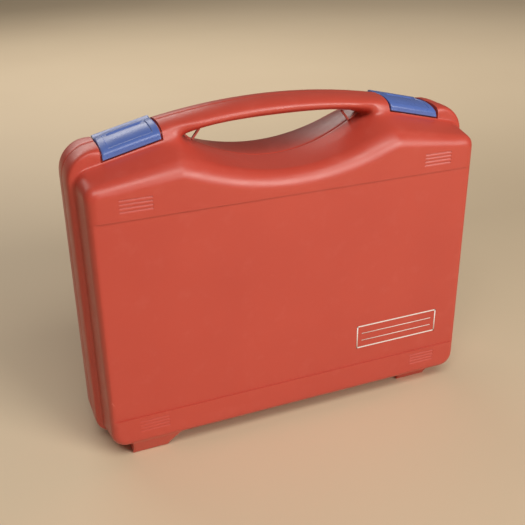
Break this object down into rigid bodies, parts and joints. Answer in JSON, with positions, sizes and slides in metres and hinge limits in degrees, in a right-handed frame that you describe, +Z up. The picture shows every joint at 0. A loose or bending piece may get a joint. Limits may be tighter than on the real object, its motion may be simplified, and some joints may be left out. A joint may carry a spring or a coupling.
{
  "type": "hard carrying case for a hand-held laboratory photometer",
  "caption": "Upright hinged plastic carrying case with an arched handle, finger gap, snap latches and foam inserts for a small laboratory instrument.",
  "frame": {"origin": "middle of the case's footprint, on the surface that its feet stand on", "axes": "+Z up; the front shell faces -Y; +X is to the right seen from the front; the two shells meet on the plane Y = 0"},
  "size_m": [0.275, 0.083, 0.2247],
  "materials": {
    "red_plastic": "injection-moulded polypropylene, semi-matt, fine texture",
    "blue_plastic": "injection-moulded polypropylene, satin",
    "pin_steel": "drawn steel wire",
    "grey_foam": "open-cell polyurethane foam"
  },
  "bodies": {
    "base": {"rear_shell": "red_plastic", "latch_pin_left": "pin_steel", "latch_pin_right": "pin_steel", "hinge_pin_left": "pin_steel", "hinge_pin_right": "pin_steel", "base_foam_pad": "grey_foam", "base_foam_block": "grey_foam"},
    "lid": {"front_shell": "red_plastic", "lid_foam_pad": "grey_foam", "lid_foam_block": "grey_foam"},
    "left_latch": {"latch_left": "blue_plastic"},
    "right_latch": {"latch_right": "blue_plastic"}
  },
  "joints": [
    {"name": "lid_hinge", "type": "hinge", "parent": "base", "child": "lid", "pos_m": [0, 0, 0.0044], "axis": [1, 0, 0], "range_deg": [0, 95]},
    {"name": "left_latch_pivot", "type": "hinge", "parent": "base", "child": "left_latch", "pos_m": [-0.09581, 0.013, 0.20891], "axis": [-0.9719, 0, -0.2352], "range_deg": [0, 90]},
    {"name": "right_latch_pivot", "type": "hinge", "parent": "base", "child": "right_latch", "pos_m": [0.09581, 0.013, 0.20891], "axis": [-0.9719, 0, 0.2352], "range_deg": [0, 90]}
  ]
}
